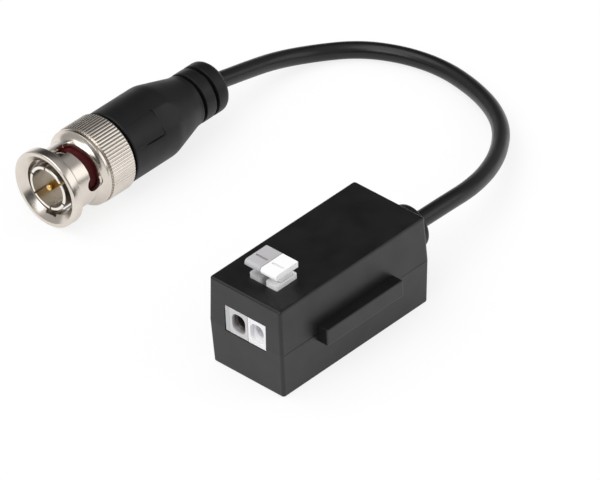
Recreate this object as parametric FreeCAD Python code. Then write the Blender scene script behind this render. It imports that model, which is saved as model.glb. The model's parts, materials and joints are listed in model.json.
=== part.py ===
import FreeCAD, Part
import math
import os

from FreeCAD import Vector

# Passive video balun for a camera line: a two-part moulded housing with a push terminal
# for a wire pair at one end and a coaxial pigtail with a bayonet plug at the other.
# Millimetres. +Z up, terminals face -Y, the cable leaves along +Y.
# Origin: centre of the housing's flat base.

# Housing
housing_width = 16.0
housing_length = 34.4
housing_height = 16.8
parting_z = 8.4
draft_inset = 0.28          # each side draws in this far at the roof and at the base
wall = 1.4
floor_thickness = 1.5
roof_thickness = 1.5
corner_radius = 0.55
edge_radius = 0.4
seam_chamfer = 0.12
lip_thickness = 0.6
lip_height = 0.8
lip_clearance = 0.08
rib_protrusion = 2.1
rib_length = 17.8
rib_height = 3.1
rib_edge_radius = 0.25

# Posts that locate the two halves, and bosses that carry the board. The rear bosses have pegs.
post_radius = 0.7
socket_radius = 1.2
post_depth = 2.0
post_clearance = 0.06
front_post_gap = 0.15       # between the front posts and the terminal
rear_post_inset = 2.5       # from the housing's side
post_from_end = 2.7
boss_radius = 1.1
boss_inset = 3.1            # from the housing's side
front_boss_from_end = 6.4
rear_boss_from_end = 6.8
peg_radius = 0.5
peg_height = 1.5
peg_clearance = 0.1

# Circuit board
board_thickness = 1.0
board_lift = 2.7            # height of the bosses above the floor
board_side_gap = 0.45
board_from_front = 4.4
board_from_rear = 5.1

# Push terminal: a grey and a white module side by side, and an end plate
module_width = 3.9
module_gap = 0.1
module_joint_x = 0.5        # plane between the two modules
module_depth = 11.5
module_top_gap = 0.3        # under the roof
end_plate_thickness = 0.95
end_plate_drop = 1.4        # plate's top below the module's top
window_height = 4.9
window_below_roof = 4.05
window_clearance = 0.06
face_setback = 0.15         # terminal's face behind the housing's front
module_setback = 0.07       # terminal's shoulder behind the inside of the front wall
collar_width = 2.6
collar_length = 4.9
collar_front = 4.3          # from the housing's front
collar_rise = 0.75          # above the roof
collar_gap = 0.95
collar_joint_x = 0.2        # plane between the two collars
collar_clearance = 0.1
collar_radius = 0.5
entry_width = 2.9
entry_height = 3.5
entry_corner = 1.2
funnel_depth = 1.1
wire_bore_radius = 1.25
wire_bore_length = 3.4
chamber_width = 2.7
chamber_length = 5.7
chamber_roof = 1.1          # plastic left above the spring's chamber
stem_width = 1.7
stem_length = 2.8
stem_front = 5.6            # from the housing's front
stem_clearance = 0.1
stem_reach = 0.15           # stem's tip below the chamber's roof

# Levers
lever_width = 3.36
lever_gap = 0.12
lever_travel = 1.2
head_front = 3.55           # from the housing's front
head_length = 5.25
head_thickness = 1.1
head_top = 3.7              # above the roof
nose_radius = 0.55
nose_under_radius = 0.3
head_edge_radius = 0.2
screw_slot_width = 0.45
screw_slot_depth = 0.4
screw_slot_length = 2.5
screw_slot_from_nose = 2.3
neck_front = 5.0            # from the housing's front
neck_length = 3.7
neck_width = 2.2

# Spring clamp and contact inside each module
strip_thickness = 0.25
strip_width = 2.2
contact_thickness = 0.4
contact_drop = 0.15         # contact bar's top below the wire bore
contact_length = 4.9
pin_width = 1.0
pin_thickness = 0.5
pin_stand_out = 1.0         # pin's end below the board
pin_hole_clearance = 0.12
spring_bend_radius = 1.3
spring_clearance = 0.06

# Choke and small parts on the board
core_outer_radius = 3.7
core_inner_radius = 1.9
core_height = 3.8
turn_wire = 0.4
turns_per_winding = 7
winding_spread = 140.0      # degrees of the core that each winding covers
core_lift = 0.1
suppressor_size = (1.6, 2.7, 1.1)
suppressor_inset = 3.4      # from the housing's side
suppressor_from_rear = 9.8
suppressor_lead = (0.8, 0.5, 0.15)
chip_length = 2.0
chip_width = 1.25
resistor_height = 0.5
capacitor_height = 0.9
resistor_inset = 3.3        # from the housing's side
resistors_from_rear = (10.4, 8.4)
capacitor_inset = 3.2       # from the housing's side
capacitor_gap = 0.675       # behind the terminal

# Pigtail
cable_radius = 1.5
cable_exit_lift = 0.35      # above the parting plane
tail_from_rear = 5.4        # jacket's end inside the housing
dielectric_radius = 0.75
braid_radius = 0.4
braid_offset = 1.05
lead_forward = 1.4
lead_pad_from_rear = 8.6
lead_bend = 0.9
grommet_radius = 4.0
grommet_length = 4.8        # outside the housing
grommet_round = 0.5
grommet_neck_clearance = 0.05
grommet_neck_radius = 3.0
grommet_flange_radius = 3.9
grommet_flange_thickness = 1.1
grommet_seat_clearance = 0.05
jacket_clearance = 0.03

# Bayonet plug, measured along its axis from the mouth
plug_x = -53.84
plug_front_y = -8.16
knurl_radius = 7.0
knurl_depth = 0.25
knurl_teeth = 72
knurl_start = 9.15
knurl_end = 14.05
knurl_chamfer = 0.25
nut_length = 14.5
nut_rear_radius = 6.6       # at the small end of the rear chamfer
flange_radius = 6.95
flange_thickness = 1.95
flange_round = 0.3
countersink_radius = 6.25
countersink_depth = 1.1
neck_radius = 5.65
shoulder_start = 6.5
shoulder_end = 8.15
shoulder_radius = 6.87
band_groove_start = 8.7
band_groove_depth = 0.2
nut_bore_radius = 4.95
web_front = 10.45
web_thickness = 1.2
web_clearance = 0.07
rear_bore_radius = 5.9
keyway_width = 2.3
keyway_radius = 5.3
keyway_angle = 92.0
keyway_window_start = 3.2   # where the keyway breaks through into the track
cam_width = 1.95
detent_radius = 1.35
cam_track = ((92.0, 5.85), (82.0, 5.85), (72.0, 6.0), (60.0, 6.2),
             (46.0, 6.38), (32.0, 6.45), (20.0, 6.35), (7.0, 5.95))

# Plug body and what is inside it
sleeve_front = 0.6
sleeve_radius = 4.05
sleeve_bore = 3.5
sleeve_bevel = 0.3
sleeve_slots = 6
sleeve_slot_width = 0.35
sleeve_slot_end = 5.2
sleeve_slot_angle = 36.0
gasket_front = 5.6
gasket_length = 2.9
gasket_seat_rise = 0.2      # the gasket's seat over the sleeve's radius
gasket_seat_start = 5.4
gasket_radius = 4.75
gasket_clearance = 0.04
body_flange_thickness = 1.2
body_flange_radius = 4.8
body_neck_end = 16.0
barrel_radius = 3.4
barrel_end = 20.5
barrel_bore = 2.4
insulator_front = 6.5
insulator_end = 15.5
insulator_radius = 3.2
insulator_clearance = 0.02
contact_pin_tip = 0.8
contact_pin_radius = 0.675
contact_pin_point = 0.35
contact_pin_shank = 0.95
contact_pin_end = 17.0
washer_thickness = 0.25
washer_rise = 0.35
washer_clearance = 0.05
ring_thickness = 0.6
ring_radius = 5.2
ring_seat_depth = 0.35
ring_clearance = 0.05
ring_gap = 1.6
ferrule_wall = 0.5
ferrule_end = 22.5
ferrule_clearance = 0.04

# Moulded boot behind the nut
boot_gap = 0.5              # behind the nut, so that it can turn
boot_radius = 6.63
boot_shoulder = 25.4
cone_end = 32.3
relief_radius = 4.66
dome_start = 38.2
boot_end = 39.85
boot_tip_radius = 1.9
relief_groove_places = (33.3, 36.2)
relief_groove_width = 0.7
relief_groove_depth = 0.9
pad_angle = 39.2
pad_span = 36.6             # degrees of the grip that each pad covers
pad_rise = 0.3              # at its rear end; the pad tapers into the grip towards the front
pad_taper = 0.05            # depth below the grip at its front end
pad_rear = 21.7
pad_flat_end = 29.0
boot_clearance = 0.04

# Points of the pigtail's free run, from the grommet's end to the boot's end
plug_z = knurl_radius       # the plug lies on its knurl
cable_exit_z = parting_z + cable_exit_lift
grommet_end_y = housing_length / 2 + grommet_length
boot_end_y = plug_front_y + boot_end
cable_points = (
    (0.0, grommet_end_y, cable_exit_z),
    (-0.1, 29.7, 8.5),
    (-1.1, 37.2, 7.2),
    (-3.6, 44.4, 5.7),
    (-7.3, 51.0, 4.4),
    (-12.2, 56.9, 3.4),
    (-18.4, 61.2, 2.5),
    (-25.6, 64.0, 1.8),
    (-33.2, 65.2, cable_radius),
    (-40.8, 63.8, cable_radius),
    (-47.6, 60.2, cable_radius),
    (-52.2, 54.0, 1.8),
    (-54.0, 46.6, 3.5),
    (-53.9, 39.1, 5.4),
    (plug_x, boot_end_y, plug_z),
)
arc_share = 0.45            # each bend's tangent length, as a share of the shorter run

# Derived places
front_y = -housing_length / 2
rear_y = housing_length / 2
roof_z = housing_height
side_x = housing_width / 2
rear_post_x = side_x - rear_post_inset
boss_x = side_x - boss_inset
front_boss_y = front_y + front_boss_from_end
rear_boss_y = rear_y - rear_boss_from_end
board_front_y = front_y + board_from_front
board_rear_y = rear_y - board_from_rear
board_z = floor_thickness + board_lift
board_top = board_z + board_thickness
tail_front_y = rear_y - tail_from_rear
lead_pad_y = rear_y - lead_pad_from_rear
face_y = front_y + face_setback
block_front_y = front_y + wall + draft_inset + module_setback
block_rear_y = block_front_y + module_depth
block_top = roof_z - roof_thickness - module_top_gap
core_y = (block_rear_y + lead_pad_y) / 2
suppressor_place = (suppressor_inset - side_x, rear_y - suppressor_from_rear)
resistor_places = [(side_x - resistor_inset, rear_y - distance) for distance in resistors_from_rear]
capacitor_y = block_rear_y + capacitor_gap + chip_width / 2
capacitor_places = [(side * (side_x - capacitor_inset), capacitor_y) for side in (-1, 1)]
window_top = roof_z - window_below_roof
window_bottom = window_top - window_height
entry_z = (window_top + window_bottom) / 2
grey_left_x = module_joint_x - module_gap / 2 - module_width
white_right_x = module_joint_x + module_gap / 2 + module_width
end_plate_x = grey_left_x - end_plate_thickness
front_post_x = max(white_right_x, -end_plate_x) + front_post_gap + socket_radius
chamber_front_y = face_y + funnel_depth + wire_bore_length
chamber_top = block_top - chamber_roof
contact_top = entry_z - wire_bore_radius - contact_drop
module_centres = {
    "grey": module_joint_x - module_gap / 2 - module_width / 2,
    "white": module_joint_x + module_gap / 2 + module_width / 2,
}
lever_centres = {
    "grey": module_joint_x - (lever_width + lever_gap) / 2,
    "white": module_joint_x + (lever_width + lever_gap) / 2,
}
collar_centres = {
    "grey": collar_joint_x - (collar_width + collar_gap) / 2,
    "white": collar_joint_x + (collar_width + collar_gap) / 2,
}
web_bore_radius = sleeve_radius + web_clearance
boot_front = nut_length + boot_gap
gasket_rear = gasket_front + gasket_length
gasket_seat_radius = sleeve_radius + gasket_seat_rise
flange_rear = gasket_rear + body_flange_thickness
ring_front = web_front + web_thickness + ring_clearance
ring_seat_radius = sleeve_radius - ring_seat_depth
ferrule_bore = barrel_radius + ferrule_clearance


# Shared shapes

def block(x0, x1, y0, y1, z0, z1):
    return Part.makeBox(x1 - x0, y1 - y0, z1 - z0, Vector(x0, y0, z0))


def rod_y(x, z, radius, y0, y1):
    return Part.makeCylinder(radius, y1 - y0, Vector(x, y0, z), Vector(0, 1, 0))


def rod_z(x, y, radius, z0, z1):
    return Part.makeCylinder(radius, z1 - z0, Vector(x, y, z0), Vector(0, 0, 1))


def rectangle(width, length, z):
    x = width / 2
    y = length / 2
    corners = [Vector(-x, -y, z), Vector(x, -y, z), Vector(x, y, z), Vector(-x, y, z)]
    return Part.makePolygon(corners + corners[:1])


def frustum(width0, length0, z0, width1, length1, z1):
    lower = rectangle(width0, length0, z0)
    upper = rectangle(width1, length1, z1)
    return Part.makeLoft([lower, upper], True, True)


def prism(points, direction):
    outline = Part.makePolygon(list(points) + [points[0]])
    return Part.Face(outline).extrude(direction)


def turned(profile):
    """Solid of revolution about +Y from (distance along the axis, radius) points."""
    points = [Vector(radius, along, 0) for along, radius in profile]
    face = Part.Face(Part.makePolygon(points + points[:1]))
    return face.revolve(Vector(0, 0, 0), Vector(0, 1, 0), 360)


def turned_edges(edges):
    """Solid of revolution about +Y from edges drawn in the plane x = radius, y = distance."""
    face = Part.Face(Part.Wire(Part.__sortEdges__(edges)))
    return face.revolve(Vector(0, 0, 0), Vector(0, 1, 0), 360)


def line(start, end):
    return Part.LineSegment(Vector(*start), Vector(*end)).toShape()


def arc(start, middle, end):
    return Part.Arc(Vector(*start), Vector(*middle), Vector(*end)).toShape()


def spun(shape, angle):
    """Turned about +Y so that +X goes to this angle towards +Z."""
    return shape.rotated(Vector(0, 0, 0), Vector(0, 1, 0), -angle)


def at_plug(shape):
    return shape.translated(Vector(plug_x, plug_front_y, plug_z))


def joined(shapes):
    first = shapes[0]
    return first.fuse(shapes[1:]).removeSplitter() if len(shapes) > 1 else first


def edges_where(shape, test):
    picked = []
    for edge in shape.Edges:
        ends = [vertex.Point for vertex in edge.Vertexes]
        if len(ends) == 2 and test(ends[0], ends[1]):
            picked.append(edge)
    return picked


def rounded_route(points):
    """Straight runs joined by tangent arcs, and the arcs' radii."""
    route = [Vector(*point) for point in points]
    edges = []
    radii = []
    start = route[0]
    for before, corner, after in zip(route, route[1:], route[2:]):
        run_in = corner - before
        run_out = after - corner
        turn = run_in.getAngle(run_out)
        reach = arc_share * min(run_in.Length, run_out.Length)
        radius = reach / math.tan(turn / 2)
        way_in = Vector(run_in).normalize()
        way_out = Vector(run_out).normalize()
        arc_start = corner - way_in * reach
        arc_end = corner + way_out * reach
        inward = (way_out - way_in).normalize()
        middle = corner + inward * (radius / math.cos(turn / 2) - radius)
        edges.append(Part.LineSegment(start, arc_start).toShape())
        edges.append(Part.Arc(arc_start, middle, arc_end).toShape())
        radii.append(radius)
        start = arc_end
    edges.append(Part.LineSegment(start, route[-1]).toShape())
    return Part.Wire(edges), radii


def tube(points, radius):
    path, radii = rounded_route(points)
    first_run = Vector(*points[1]) - Vector(*points[0])
    section = Part.Wire(Part.makeCircle(radius, Vector(*points[0]), first_run))
    solid = path.makePipeShell([section], True, False)
    return solid, path.Length, radii


# Housing

def housing_half(upper):
    """One half of the box, drafted away from the parting plane, with its cavity."""
    far_z = housing_height if upper else 0.0
    skin = -roof_thickness if upper else floor_thickness
    far_width = housing_width - 2 * draft_inset
    far_length = housing_length - 2 * draft_inset
    outer = frustum(housing_width, housing_length, parting_z, far_width, far_length, far_z)
    corners = edges_where(outer, lambda a, b: abs(a.z - b.z) > edge_radius)
    outer = outer.makeFillet(corner_radius, corners)
    rim = edges_where(outer, lambda a, b: abs(a.z - far_z) < 1e-6 and abs(b.z - far_z) < 1e-6)
    outer = outer.makeFillet(edge_radius, rim)
    cavity = frustum(housing_width - 2 * wall, housing_length - 2 * wall, parting_z,
                     far_width - 2 * wall, far_length - 2 * wall, far_z + skin)
    return outer.cut([cavity, seam_cut(1, upper), seam_cut(-1, upper)])


def seam_cut(side, upper):
    """Small chamfer along the parting line on one long side."""
    way = 1 if upper else -1
    x = side * housing_width / 2
    reach = side * seam_chamfer
    start = front_y - wall
    return prism([Vector(x - reach, start, parting_z), Vector(x + reach, start, parting_z),
                  Vector(x + reach, start, parting_z + 2 * way * seam_chamfer)],
                 Vector(0, housing_length + 2 * wall, 0))


def lip(height, clearance):
    """Ring inside the wall along the parting plane."""
    outer_width = housing_width - 2 * wall + 2 * lip_thickness + 2 * clearance
    outer_length = housing_length - 2 * wall + 2 * lip_thickness + 2 * clearance
    outer = block(-outer_width / 2, outer_width / 2, -outer_length / 2, outer_length / 2,
                  parting_z, parting_z + height)
    inner_width = housing_width - 2 * wall
    inner_length = housing_length - 2 * wall
    inner = block(-inner_width / 2, inner_width / 2, -inner_length / 2, inner_length / 2,
                  parting_z - wall, parting_z + height + wall)
    return outer.cut(inner)


def rib_half(upper):
    """Half of the rib that stands out of the right side."""
    root_x = housing_width / 2 - wall / 2
    tip_x = housing_width / 2 + rib_protrusion
    half = rib_height / 2
    z0 = parting_z if upper else parting_z - half
    rib = block(root_x, tip_x, -rib_length / 2, rib_length / 2, z0, z0 + half)
    far_z = z0 + half if upper else z0
    outer = edges_where(rib, lambda a, b: abs(a.x - tip_x) < 1e-6 and abs(b.x - tip_x) < 1e-6
                        and not (abs(a.z - parting_z) < 1e-6 and abs(b.z - parting_z) < 1e-6))
    top = edges_where(rib, lambda a, b: abs(a.z - far_z) < 1e-6 and abs(b.z - far_z) < 1e-6
                      and abs(a.y - b.y) < 1e-6)
    rib = rib.makeFillet(rib_edge_radius, outer + top)
    cavity_face_x = housing_width / 2 - wall / 2
    return rib.cut(block(root_x - wall, cavity_face_x, -rib_length, rib_length, 0, roof_z))


def window_cut():
    """Opening in the front wall for the terminal's face."""
    return block(end_plate_x - window_clearance, white_right_x + window_clearance,
                 front_y - wall, front_y + 2 * wall,
                 window_bottom - window_clearance, window_top + window_clearance)


def cable_hole():
    """Hole in the rear wall, and the flat seat for the grommet's flange inside it."""
    hole_radius = grommet_neck_radius + grommet_neck_clearance
    seat_radius = grommet_flange_radius + grommet_seat_clearance
    hole = rod_y(0, cable_exit_z, hole_radius, rear_y - 2 * wall, rear_y + wall)
    seat = rod_y(0, cable_exit_z, seat_radius, rear_y - 2 * wall, rear_y - wall)
    return hole.fuse(seat)


def post_places():
    end = housing_length / 2 - post_from_end
    places = []
    for side in (-1, 1):
        places.append((side * front_post_x, -end))
        places.append((side * rear_post_x, end))
    return places


def boss_places():
    return [(side * boss_x, y) for side in (-1, 1) for y in (front_boss_y, rear_boss_y)]


def peg_places():
    return [(side * boss_x, rear_boss_y) for side in (-1, 1)]


def upper_shell():
    shell = housing_half(True)
    shell = shell.cut(lip(lip_height + lip_clearance, lip_clearance))
    shell = shell.fuse(rib_half(True))
    pillars = []
    for x, y in post_places():
        pillars.append(rod_z(x, y, socket_radius, parting_z, roof_z - roof_thickness / 2))
        pillars.append(rod_z(x, y, post_radius, parting_z - post_depth, parting_z + wall))
    shell = shell.fuse(pillars)
    left = min(collar_centres.values()) - collar_width / 2 - collar_clearance
    right = max(collar_centres.values()) + collar_width / 2 + collar_clearance
    near = front_y + collar_front - collar_clearance
    far = near + collar_length + 2 * collar_clearance
    opening = block(left, right, near, far, roof_z - 2 * roof_thickness, roof_z + wall)
    shell = shell.cut([opening, window_cut(), cable_hole()])
    return shell.removeSplitter()


def lower_shell():
    shell = housing_half(False)
    sockets = [rod_z(x, y, socket_radius, floor_thickness / 2, parting_z)
               for x, y in post_places()]
    bosses = [rod_z(x, y, boss_radius, floor_thickness / 2, board_z)
              for x, y in boss_places()]
    pegs = [rod_z(x, y, peg_radius, floor_thickness, board_z + peg_height)
            for x, y in peg_places()]
    shell = shell.fuse([lip(lip_height, 0.0), rib_half(False)] + sockets + bosses + pegs)
    holes = [rod_z(x, y, post_radius + post_clearance,
                   parting_z - post_depth - post_clearance, parting_z + wall)
             for x, y in post_places()]
    pillars = [rod_z(x, y, socket_radius + lip_clearance, parting_z, parting_z + 2 * wall)
               for x, y in post_places()]
    shell = shell.cut(holes + pillars + [window_cut(), cable_hole()])
    return shell.removeSplitter()


# Board and its parts

def pin_centre_y():
    return chamber_front_y + contact_length - pin_thickness / 2


def circuit_board():
    half = housing_width / 2 - wall - board_side_gap
    board = block(-half, half, board_front_y, board_rear_y, board_z, board_top)
    holes = [rod_z(x, y, peg_radius + peg_clearance, board_z - wall, board_top + wall)
             for x, y in peg_places()]
    hole_x = pin_width / 2 + pin_hole_clearance
    hole_y = pin_thickness / 2 + pin_hole_clearance
    for x in module_centres.values():
        holes.append(block(x - hole_x, x + hole_x, pin_centre_y() - hole_y,
                           pin_centre_y() + hole_y, board_z - wall, board_top + wall))
    return board.cut(holes)


def core_base_z():
    return board_top + core_lift + turn_wire


def ferrite_core():
    ring = rod_z(0, core_y, core_outer_radius, core_base_z(), core_base_z() + core_height)
    hole = rod_z(0, core_y, core_inner_radius, board_top, core_base_z() + 2 * core_height)
    ring = ring.cut(hole)
    rims = [edge for edge in ring.Edges if len(edge.Vertexes) == 1]
    return ring.makeChamfer(turn_wire / 2, rims)


def winding(middle_angle):
    """Enamelled turns round one side of the ferrite ring."""
    gap = 0.02
    x0 = core_inner_radius - gap - turn_wire
    x1 = core_outer_radius + gap + turn_wire
    z0 = core_base_z() - gap - turn_wire + core_lift / 2
    z1 = core_base_z() + core_height + gap + turn_wire
    half = turn_wire / 2
    loop = block(x0, x1, -half, half, z0, z1)
    eye = block(x0 + turn_wire, x1 - turn_wire, -wall, wall,
                core_base_z() - gap, core_base_z() + core_height + gap)
    turn = loop.cut(eye)
    turns = []
    for index in range(turns_per_winding):
        share = index / (turns_per_winding - 1) - 0.5
        angle = middle_angle + share * winding_spread
        placed = turn.rotated(Vector(0, 0, 0), Vector(0, 0, 1), angle)
        turns.append(placed.translated(Vector(0, core_y, 0)))
    return Part.makeCompound(turns)


def surge_suppressor():
    width, length, height = suppressor_size
    lead_width, lead_reach, lead_thickness = suppressor_lead
    x, y = suppressor_place
    body = block(x - width / 2, x + width / 2, y - length / 2, y + length / 2,
                 board_top, board_top + height)
    upright = edges_where(body, lambda a, b: abs(a.z - b.z) > height / 2)
    body = body.makeChamfer(lead_thickness, upright)
    leads = []
    for side in (-1, 1):
        y0 = y + side * length / 2
        y1 = y0 + side * lead_reach
        leads.append(block(x - lead_width / 2, x + lead_width / 2, min(y0, y1) - lead_thickness / 2,
                           max(y0, y1) + lead_thickness / 2, board_top, board_top + lead_thickness))
    return joined([body] + leads)


def chips(places, height):
    """Like chips on the board."""
    return Part.makeCompound([block(x - chip_length / 2, x + chip_length / 2,
                                    y - chip_width / 2, y + chip_width / 2,
                                    board_top, board_top + height) for x, y in places])


# Push terminal

def entry(x):
    """Rounded funnel in the terminal's face and the round bore behind it."""
    half_width = entry_width / 2
    half_height = entry_height / 2
    mouth = block(x - half_width, x + half_width, face_y - wall, face_y + funnel_depth,
                  entry_z - half_height, entry_z + half_height)
    along = edges_where(mouth, lambda a, b: abs(a.y - b.y) > funnel_depth)
    mouth = mouth.makeFillet(entry_corner, along)
    cone = Part.makeCone(wire_bore_radius, wire_bore_radius + funnel_depth, funnel_depth,
                         Vector(x, face_y + funnel_depth, entry_z), Vector(0, -1, 0))
    outside = rod_y(x, entry_z, wire_bore_radius + funnel_depth, face_y - wall, face_y)
    mouth = mouth.common(cone.fuse(outside))
    bore = rod_y(x, entry_z, wire_bore_radius, face_y, chamber_front_y + wall / 2)
    return mouth.fuse(bore)


def terminal_body(colour):
    x = module_centres[colour]
    collar_x = collar_centres[colour]
    x0 = x - module_width / 2
    x1 = x + module_width / 2
    main = block(x0, x1, block_front_y, block_rear_y, board_top, block_top)
    face = block(x0, x1, face_y, block_front_y + wall, window_bottom, window_top)
    collar_y0 = front_y + collar_front
    collar = block(collar_x - collar_width / 2, collar_x + collar_width / 2,
                   collar_y0, collar_y0 + collar_length, block_top - wall, roof_z + collar_rise)
    upright = edges_where(collar, lambda a, b: abs(a.z - b.z) > wall)
    collar = collar.makeFillet(collar_radius, upright)
    body = joined([main, face, collar])
    chamber = block(x - chamber_width / 2, x + chamber_width / 2, chamber_front_y,
                    chamber_front_y + chamber_length, board_top - wall, chamber_top)
    stem_x = collar_x
    half_stem = stem_width / 2 + stem_clearance
    stem_y0 = front_y + stem_front - stem_clearance
    passage = block(stem_x - half_stem, stem_x + half_stem, stem_y0,
                    stem_y0 + stem_length + 2 * stem_clearance, chamber_top - wall, roof_z + 2 * wall)
    return body.cut([chamber, passage, entry(x)]).removeSplitter()


def terminal_end_plate():
    """Cover on the open side of the grey module."""
    x0 = end_plate_x
    x1 = grey_left_x
    plate = block(x0, x1, block_front_y, block_rear_y, board_top, block_top - end_plate_drop)
    face = block(x0, x1, face_y, block_front_y + wall, window_bottom, window_top)
    return joined([plate, face])


def lever(colour):
    """Push lever: rounded head with a driver slot, neck, and stem that works the spring."""
    x = lever_centres[colour]
    stem_x = collar_centres[colour]
    half = lever_width / 2
    y0 = front_y + head_front
    top = roof_z + head_top
    bottom = top - head_thickness
    head = block(x - half, x + half, y0, y0 + head_length, bottom, top)
    nose = edges_where(head, lambda a, b: abs(a.y - y0) < 1e-6 and abs(b.y - y0) < 1e-6
                       and abs(a.z - top) < 1e-6 and abs(b.z - top) < 1e-6)
    head = head.makeFillet(nose_radius, nose)
    chin = edges_where(head, lambda a, b: abs(a.y - y0) < 1e-6 and abs(b.y - y0) < 1e-6
                       and abs(a.z - bottom) < 1e-6 and abs(b.z - bottom) < 1e-6)
    head = head.makeFillet(nose_under_radius, chin)
    rear_y0 = y0 + head_length
    back = edges_where(head, lambda a, b: abs(a.y - rear_y0) < 1e-6 and abs(b.y - rear_y0) < 1e-6)
    head = head.makeFillet(head_edge_radius, back)
    slot_y = y0 + screw_slot_from_nose
    slot = block(x - screw_slot_length / 2, x + screw_slot_length / 2,
                 slot_y - screw_slot_width / 2, slot_y + screw_slot_width / 2,
                 top - screw_slot_depth, top + wall)
    neck_y0 = front_y + neck_front
    neck_z0 = roof_z + collar_rise + lever_travel + stem_clearance
    neck = block(stem_x - neck_width / 2, stem_x + neck_width / 2, neck_y0, neck_y0 + neck_length,
                 neck_z0, bottom + head_thickness / 2)
    stem_y0 = front_y + stem_front
    stem = block(stem_x - stem_width / 2, stem_x + stem_width / 2, stem_y0, stem_y0 + stem_length,
                 chamber_top - stem_reach, bottom + head_thickness / 2)
    return joined([head, neck, stem]).cut(slot)


def clamp_spring(colour):
    """Bent leaf spring: up the back of the chamber, over, and down onto the contact bar."""
    x = module_centres[colour]
    half = strip_thickness / 2
    back_y = chamber_front_y + contact_length
    centre_y = back_y - spring_bend_radius
    centre_z = chamber_top - stem_reach - spring_clearance - half - spring_bend_radius
    tip_y = chamber_front_y + strip_thickness
    tip_z = contact_top + strip_thickness
    to_centre = math.hypot(centre_y - tip_y, centre_z - tip_z)
    slope = math.atan2(centre_z - tip_z, centre_y - tip_y)
    slope += math.asin(spring_bend_radius / to_centre)
    bend_end = Vector(0, centre_y - spring_bend_radius * math.sin(slope),
                      centre_z + spring_bend_radius * math.cos(slope))
    bend_start = Vector(0, back_y, centre_z)
    crown = Vector(0, centre_y, centre_z + spring_bend_radius)
    foot = Vector(0, back_y, contact_top)
    path = Part.Wire([Part.LineSegment(foot, bend_start).toShape(),
                      Part.Arc(bend_start, crown, bend_end).toShape(),
                      Part.LineSegment(bend_end, Vector(0, tip_y, tip_z)).toShape()])
    corners = [Vector(-strip_width / 2, -half, 0), Vector(strip_width / 2, -half, 0),
               Vector(strip_width / 2, half, 0), Vector(-strip_width / 2, half, 0)]
    section = Part.makePolygon([foot + corner for corner in corners + corners[:1]])
    spring = path.makePipeShell([section], True, False, 2)
    return spring.translated(Vector(x, 0, 0))


def contact_bar(colour):
    """Tinned bar under the wire, and its pin through the board."""
    x = module_centres[colour]
    y0 = chamber_front_y + stem_clearance
    y1 = chamber_front_y + contact_length
    bar = block(x - strip_width / 2, x + strip_width / 2, y0, y1,
                contact_top - contact_thickness, contact_top)
    pin = block(x - pin_width / 2, x + pin_width / 2, y1 - pin_thickness, y1,
                board_z - pin_stand_out, contact_top - contact_thickness / 2)
    return joined([bar, pin])


# Pigtail

def cable_grommet():
    """Moulded strain relief, held in the rear wall by its inner flange."""
    inner_y = rear_y - wall
    end_y = grommet_end_y
    flange_y = inner_y - grommet_flange_thickness
    bore = cable_radius + jacket_clearance
    round_y = end_y - grommet_round
    face_radius = grommet_radius - grommet_round
    lean = math.sqrt(0.5)
    middle = (face_radius + grommet_round * lean, round_y + grommet_round * lean, 0)
    edges = [
        line((bore, flange_y, 0), (grommet_flange_radius, flange_y, 0)),
        line((grommet_flange_radius, flange_y, 0), (grommet_flange_radius, inner_y, 0)),
        line((grommet_flange_radius, inner_y, 0), (grommet_neck_radius, inner_y, 0)),
        line((grommet_neck_radius, inner_y, 0), (grommet_neck_radius, rear_y, 0)),
        line((grommet_neck_radius, rear_y, 0), (grommet_radius, rear_y, 0)),
        line((grommet_radius, rear_y, 0), (grommet_radius, round_y, 0)),
        arc((grommet_radius, round_y, 0), middle, (face_radius, end_y, 0)),
        line((face_radius, end_y, 0), (bore, end_y, 0)),
        line((bore, end_y, 0), (bore, flange_y, 0)),
    ]
    return turned_edges(edges).translated(Vector(0, 0, cable_exit_z))


def cable_tail():
    """Jacketed cable inside the grommet and the housing."""
    return rod_y(0, cable_exit_z, cable_radius, tail_front_y, grommet_end_y)


def lead(x, radius):
    """Stripped lead from the cable's end down to the board."""
    pad_z = board_top + jacket_clearance
    points = ((x, tail_front_y, cable_exit_z), (x, tail_front_y - lead_forward, cable_exit_z),
              (x, lead_pad_y, pad_z))
    route = [Vector(*point) for point in points]
    way_in = (route[1] - route[0]).normalize()
    way_out = (route[2] - route[1]).normalize()
    turn = way_in.getAngle(way_out)
    reach = lead_bend * math.tan(turn / 2)
    inward = (way_out - way_in).normalize()
    middle = route[1] + inward * (lead_bend / math.cos(turn / 2) - lead_bend)
    bend_start = route[1] - way_in * reach
    bend_end = route[1] + way_out * reach
    end = route[2] - way_out * radius
    path = Part.Wire([Part.LineSegment(route[0], bend_start).toShape(),
                      Part.Arc(bend_start, middle, bend_end).toShape(),
                      Part.LineSegment(bend_end, end).toShape()])
    section = Part.Wire(Part.makeCircle(radius, route[0], way_in))
    return path.makePipeShell([section], True, False)


def video_cable():
    solid, length, radii = tube(cable_points, cable_radius)
    expected = math.pi * cable_radius ** 2 * length
    print("cable: %.1f mm long, smallest radius %.1f mm" % (length, min(radii)))
    print("cable radii:", ", ".join("%.1f" % radius for radius in radii))
    print("cable volume %.2f mm3, section times length %.2f mm3" % (solid.Volume, expected))
    return solid


# Bayonet plug

def knurl_ring(start, end):
    """Ring of straight pressed teeth."""
    root = knurl_radius - knurl_depth
    step = math.pi / knurl_teeth
    points = []
    for index in range(2 * knurl_teeth):
        radius = knurl_radius if index % 2 == 0 else root
        points.append(Vector(radius * math.cos(index * step), start, radius * math.sin(index * step)))
    ring = prism(points, Vector(0, end - start, 0))
    core = rod_y(0, 0, root - 2 * knurl_depth, start - wall, end + wall)
    return ring.cut(core)


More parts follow.
